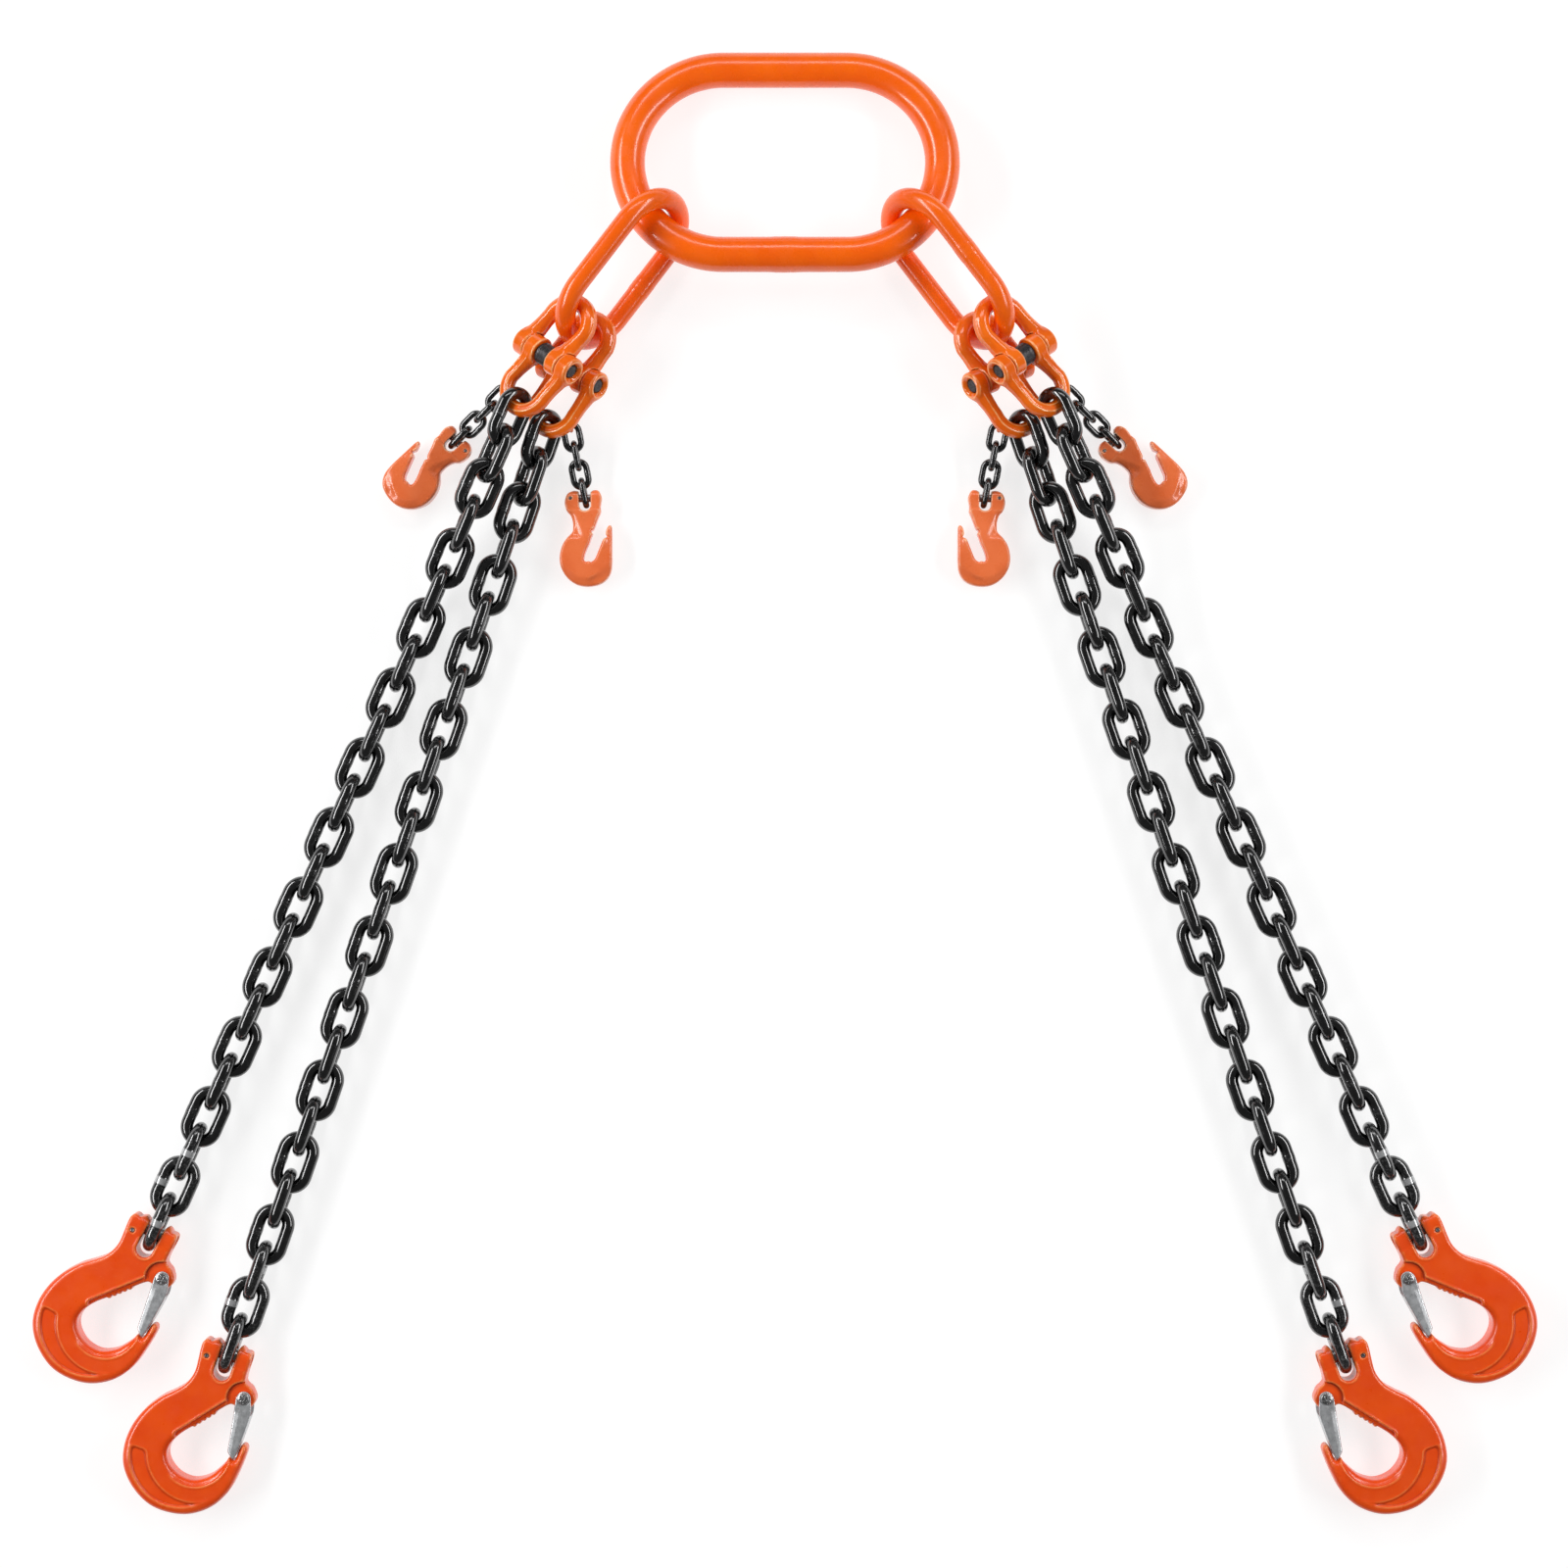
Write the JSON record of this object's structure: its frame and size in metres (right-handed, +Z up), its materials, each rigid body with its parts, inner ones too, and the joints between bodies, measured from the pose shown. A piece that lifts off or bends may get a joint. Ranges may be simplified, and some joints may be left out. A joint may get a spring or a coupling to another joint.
{
  "type": "four leg chain sling",
  "caption": "Chain sling lying spread: master link, intermediate links, coupling links, chain legs with latched clevis hooks, and grab hooks on short chains.",
  "frame": {"origin": "centre of the bounding box on the floor plane", "axes": "+Z up from the floor, +Y from the hooks towards the master link, +X to the right seen from above"},
  "size_m": [0.9458, 0.9196, 0.0606],
  "materials": {
    "master_orange": "glossy bright orange paint over forged steel",
    "coupling_orange": "glossy orange powder coat",
    "hook_red_orange": "glossy red-orange powder coat",
    "grab_coral": "satin coral orange paint",
    "blackened_chain": "tempered, blackened and oiled alloy steel",
    "dark_pin_steel": "blackened steel",
    "zinc_sheet": "zinc plated pressed steel",
    "bright_pin": "plain bright steel"
  },
  "bodies": {
    "master_link": {"master_link": "master_orange"},
    "link_left": {"link_left": "master_orange"},
    "link_right": {"link_right": "master_orange"},
    "coupling_1_upper": {"coupling_1_upper_half": "coupling_orange"},
    "coupling_1_lower": {"coupling_1_lower_half": "coupling_orange", "coupling_1_pin": "dark_pin_steel", "coupling_1_sleeve": "dark_pin_steel"},
    "leg_1_chain_upper": {"leg_1_chain_upper": "blackened_chain"},
    "leg_1_chain_middle": {"leg_1_chain_middle": "blackened_chain"},
    "leg_1_chain_lower": {"leg_1_chain_lower": "blackened_chain"},
    "sling_hook_1": {"sling_hook_1_body": "hook_red_orange", "sling_hook_1_load_pin": "bright_pin", "sling_hook_1_latch_rivet": "bright_pin"},
    "sling_hook_1_latch": {"sling_hook_1_latch": "zinc_sheet"},
    "short_chain_1": {"short_chain_1": "blackened_chain"},
    "grab_hook_1": {"grab_hook_1_body": "grab_coral", "grab_hook_1_pins": "bright_pin"},
    "coupling_2_upper": {"coupling_2_upper_half": "coupling_orange"},
    "coupling_2_lower": {"coupling_2_lower_half": "coupling_orange", "coupling_2_pin": "dark_pin_steel", "coupling_2_sleeve": "dark_pin_steel"},
    "leg_2_chain_upper": {"leg_2_chain_upper": "blackened_chain"},
    "leg_2_chain_middle": {"leg_2_chain_middle": "blackened_chain"},
    "leg_2_chain_lower": {"leg_2_chain_lower": "blackened_chain"},
    "sling_hook_2": {"sling_hook_2_body": "hook_red_orange", "sling_hook_2_load_pin": "bright_pin", "sling_hook_2_latch_rivet": "bright_pin"},
    "sling_hook_2_latch": {"sling_hook_2_latch": "zinc_sheet"},
    "short_chain_2": {"short_chain_2": "blackened_chain"},
    "grab_hook_2": {"grab_hook_2_body": "grab_coral", "grab_hook_2_pins": "bright_pin"},
    "coupling_3_upper": {"coupling_3_upper_half": "coupling_orange"},
    "coupling_3_lower": {"coupling_3_lower_half": "coupling_orange", "coupling_3_pin": "dark_pin_steel", "coupling_3_sleeve": "dark_pin_steel"},
    "leg_3_chain_upper": {"leg_3_chain_upper": "blackened_chain"},
    "leg_3_chain_middle": {"leg_3_chain_middle": "blackened_chain"},
    "leg_3_chain_lower": {"leg_3_chain_lower": "blackened_chain"},
    "sling_hook_3": {"sling_hook_3_body": "hook_red_orange", "sling_hook_3_load_pin": "bright_pin", "sling_hook_3_latch_rivet": "bright_pin"},
    "sling_hook_3_latch": {"sling_hook_3_latch": "zinc_sheet"},
    "short_chain_3": {"short_chain_3": "blackened_chain"},
    "grab_hook_3": {"grab_hook_3_body": "grab_coral", "grab_hook_3_pins": "bright_pin"},
    "coupling_4_upper": {"coupling_4_upper_half": "coupling_orange"},
    "coupling_4_lower": {"coupling_4_lower_half": "coupling_orange", "coupling_4_pin": "dark_pin_steel", "coupling_4_sleeve": "dark_pin_steel"},
    "leg_4_chain_upper": {"leg_4_chain_upper": "blackened_chain"},
    "leg_4_chain_middle": {"leg_4_chain_middle": "blackened_chain"},
    "leg_4_chain_lower": {"leg_4_chain_lower": "blackened_chain"},
    "sling_hook_4": {"sling_hook_4_body": "hook_red_orange", "sling_hook_4_load_pin": "bright_pin", "sling_hook_4_latch_rivet": "bright_pin"},
    "sling_hook_4_latch": {"sling_hook_4_latch": "zinc_sheet"},
    "short_chain_4": {"short_chain_4": "blackened_chain"},
    "grab_hook_4": {"grab_hook_4_body": "grab_coral", "grab_hook_4_pins": "bright_pin"}
  },
  "joints": [
    {"name": "link_left_swing", "type": "hinge", "parent": "master_link", "child": "link_left", "pos_m": [-0.06984, 0.36218, 0.03032], "axis": [0, 0, -1], "range_deg": [-6, 7]},
    {"name": "link_right_swing", "type": "hinge", "parent": "master_link", "child": "link_right", "pos_m": [0.06984, 0.36218, 0.03032], "axis": [0, 0, 1], "range_deg": [-6, 7]},
    {"name": "coupling_1_swing", "type": "hinge", "parent": "link_left", "child": "coupling_1_upper", "pos_m": [-0.13361, 0.28745, 0.03986], "axis": [0, 0, -1], "range_deg": [0, 6]},
    {"name": "coupling_1_hinge", "type": "hinge", "parent": "coupling_1_upper", "child": "coupling_1_lower", "pos_m": [-0.14775, 0.26583, 0.03806], "axis": [-0.7056, 0.5034, -0.4988], "range_deg": [0, 20]},
    {"name": "leg_1_top_swing", "type": "hinge", "parent": "coupling_1_lower", "child": "leg_1_chain_upper", "pos_m": [-0.16851, 0.23411, 0.03541], "axis": [0, 0, -1], "range_deg": [0, 4]},
    {"name": "leg_1_upper_bend", "type": "hinge", "parent": "leg_1_chain_upper", "child": "leg_1_chain_middle", "pos_m": [-0.24494, 0.06083, 0.01348], "axis": [0, 0, -1], "range_deg": [0, 22]},
    {"name": "leg_1_lower_bend", "type": "hinge", "parent": "leg_1_chain_middle", "child": "leg_1_chain_lower", "pos_m": [-0.32242, -0.11484, 0.01333], "axis": [0, 0, -1], "range_deg": [-3, 25]},
    {"name": "sling_hook_1_tilt", "type": "hinge", "parent": "leg_1_chain_lower", "child": "sling_hook_1", "pos_m": [-0.39635, -0.28247, 0.01333], "axis": [-0.8805, 0.4741, 0], "range_deg": [0, 60]},
    {"name": "sling_hook_1_latch_open", "type": "hinge", "parent": "sling_hook_1", "child": "sling_hook_1_latch", "pos_m": [-0.39103, -0.31076, 0.01265], "axis": [0.0143, 0.0266, -0.9995], "range_deg": [0, 32], "stiffness_Nm_per_rad": 0.05},
    {"name": "short_chain_1_swing", "type": "hinge", "parent": "coupling_1_lower", "child": "short_chain_1", "pos_m": [-0.17358, 0.24691, 0.02185], "axis": [0, 0, -1], "range_deg": [0, 7]},
    {"name": "grab_hook_1_tilt", "type": "hinge", "parent": "short_chain_1", "child": "grab_hook_1", "pos_m": [-0.20716, 0.2157, 0.0073], "axis": [-0.6807, 0.7325, 0], "range_deg": [0, 50]},
    {"name": "coupling_2_swing", "type": "hinge", "parent": "link_left", "child": "coupling_2_upper", "pos_m": [-0.12271, 0.27933, 0.01992], "axis": [0, 0, 1], "range_deg": [0, 5]},
    {"name": "coupling_2_hinge", "type": "hinge", "parent": "coupling_2_upper", "child": "coupling_2_lower", "pos_m": [-0.1339, 0.25598, 0.01992], "axis": [-0.781, 0.3742, -0.5], "range_deg": [0, 2]},
    {"name": "leg_2_top_swing", "type": "hinge", "parent": "coupling_2_lower", "child": "leg_2_chain_upper", "pos_m": [-0.15032, 0.22171, 0.01992], "axis": [0, 0, 1], "range_deg": [0, 4]},
    {"name": "leg_2_upper_bend", "type": "hinge", "parent": "leg_2_chain_upper", "child": "leg_2_chain_middle", "pos_m": [-0.21228, 0.04114, 0.01332], "axis": [0, 0, 1], "range_deg": [0, 22]},
    {"name": "leg_2_lower_bend", "type": "hinge", "parent": "leg_2_chain_middle", "child": "leg_2_chain_lower", "pos_m": [-0.2746, -0.14047, 0.01332], "axis": [0, 0, 1], "range_deg": [-3, 25]},
    {"name": "sling_hook_2_tilt", "type": "hinge", "parent": "leg_2_chain_lower", "child": "sling_hook_2", "pos_m": [-0.34964, -0.35915, 0.01332], "axis": [-0.9459, 0.3246, 0], "range_deg": [0, 60]},
    {"name": "sling_hook_2_latch_open", "type": "hinge", "parent": "sling_hook_2", "child": "sling_hook_2_latch", "pos_m": [-0.33979, -0.3862, 0.01264], "axis": [0.0098, 0.0286, -0.9995], "range_deg": [0, 32], "stiffness_Nm_per_rad": 0.05},
    {"name": "short_chain_2_swing", "type": "hinge", "parent": "coupling_2_lower", "child": "short_chain_2", "pos_m": [-0.13504, 0.22533, 0.01937], "axis": [0, 0, 1], "range_deg": [0, 7]},
    {"name": "grab_hook_2_tilt", "type": "hinge", "parent": "short_chain_2", "child": "grab_hook_2", "pos_m": [-0.12616, 0.17963, 0.0073], "axis": [-0.9997, -0.0262, 0], "range_deg": [0, 50]},
    {"name": "coupling_3_swing", "type": "hinge", "parent": "link_right", "child": "coupling_3_upper", "pos_m": [0.12271, 0.27933, 0.01992], "axis": [0, 0, -1], "range_deg": [0, 5]},
    {"name": "coupling_3_hinge", "type": "hinge", "parent": "coupling_3_upper", "child": "coupling_3_lower", "pos_m": [0.1339, 0.25598, 0.01992], "axis": [-0.781, -0.3742, 0.5], "range_deg": [0, 2]},
    {"name": "leg_3_top_swing", "type": "hinge", "parent": "coupling_3_lower", "child": "leg_3_chain_upper", "pos_m": [0.15032, 0.22171, 0.01992], "axis": [0, 0, -1], "range_deg": [0, 4]},
    {"name": "leg_3_upper_bend", "type": "hinge", "parent": "leg_3_chain_upper", "child": "leg_3_chain_middle", "pos_m": [0.21228, 0.04114, 0.01332], "axis": [0, 0, -1], "range_deg": [0, 22]},
    {"name": "leg_3_lower_bend", "type": "hinge", "parent": "leg_3_chain_middle", "child": "leg_3_chain_lower", "pos_m": [0.2746, -0.14047, 0.01332], "axis": [0, 0, -1], "range_deg": [-3, 25]},
    {"name": "sling_hook_3_tilt", "type": "hinge", "parent": "leg_3_chain_lower", "child": "sling_hook_3", "pos_m": [0.34964, -0.35915, 0.01332], "axis": [-0.9459, -0.3246, 0], "range_deg": [0, 60]},
    {"name": "sling_hook_3_latch_open", "type": "hinge", "parent": "sling_hook_3", "child": "sling_hook_3_latch", "pos_m": [0.33979, -0.3862, 0.01264], "axis": [0.0098, -0.0286, 0.9995], "range_deg": [0, 32], "stiffness_Nm_per_rad": 0.05},
    {"name": "short_chain_3_swing", "type": "hinge", "parent": "coupling_3_lower", "child": "short_chain_3", "pos_m": [0.13504, 0.22533, 0.01937], "axis": [0, 0, -1], "range_deg": [0, 7]},
    {"name": "grab_hook_3_tilt", "type": "hinge", "parent": "short_chain_3", "child": "grab_hook_3", "pos_m": [0.12616, 0.17963, 0.0073], "axis": [-0.9997, 0.0262, 0], "range_deg": [0, 50]},
    {"name": "coupling_4_swing", "type": "hinge", "parent": "link_right", "child": "coupling_4_upper", "pos_m": [0.13361, 0.28745, 0.03986], "axis": [0, 0, 1], "range_deg": [0, 6]},
    {"name": "coupling_4_hinge", "type": "hinge", "parent": "coupling_4_upper", "child": "coupling_4_lower", "pos_m": [0.14775, 0.26583, 0.03806], "axis": [-0.7056, -0.5034, 0.4988], "range_deg": [0, 20]},
    {"name": "leg_4_top_swing", "type": "hinge", "parent": "coupling_4_lower", "child": "leg_4_chain_upper", "pos_m": [0.16851, 0.23411, 0.03541], "axis": [0, 0, 1], "range_deg": [0, 4]},
    {"name": "leg_4_upper_bend", "type": "hinge", "parent": "leg_4_chain_upper", "child": "leg_4_chain_middle", "pos_m": [0.24494, 0.06083, 0.01348], "axis": [0, 0, 1], "range_deg": [0, 22]},
    {"name": "leg_4_lower_bend", "type": "hinge", "parent": "leg_4_chain_middle", "child": "leg_4_chain_lower", "pos_m": [0.32242, -0.11484, 0.01333], "axis": [0, 0, 1], "range_deg": [-3, 25]},
    {"name": "sling_hook_4_tilt", "type": "hinge", "parent": "leg_4_chain_lower", "child": "sling_hook_4", "pos_m": [0.39635, -0.28247, 0.01333], "axis": [-0.8805, -0.4741, 0], "range_deg": [0, 60]},
    {"name": "sling_hook_4_latch_open", "type": "hinge", "parent": "sling_hook_4", "child": "sling_hook_4_latch", "pos_m": [0.39103, -0.31076, 0.01265], "axis": [0.0143, -0.0266, 0.9995], "range_deg": [0, 32], "stiffness_Nm_per_rad": 0.05},
    {"name": "short_chain_4_swing", "type": "hinge", "parent": "coupling_4_lower", "child": "short_chain_4", "pos_m": [0.17358, 0.24691, 0.02185], "axis": [0, 0, 1], "range_deg": [0, 7]},
    {"name": "grab_hook_4_tilt", "type": "hinge", "parent": "short_chain_4", "child": "grab_hook_4", "pos_m": [0.20716, 0.2157, 0.0073], "axis": [-0.6807, -0.7325, 0], "range_deg": [0, 50]}
  ]
}
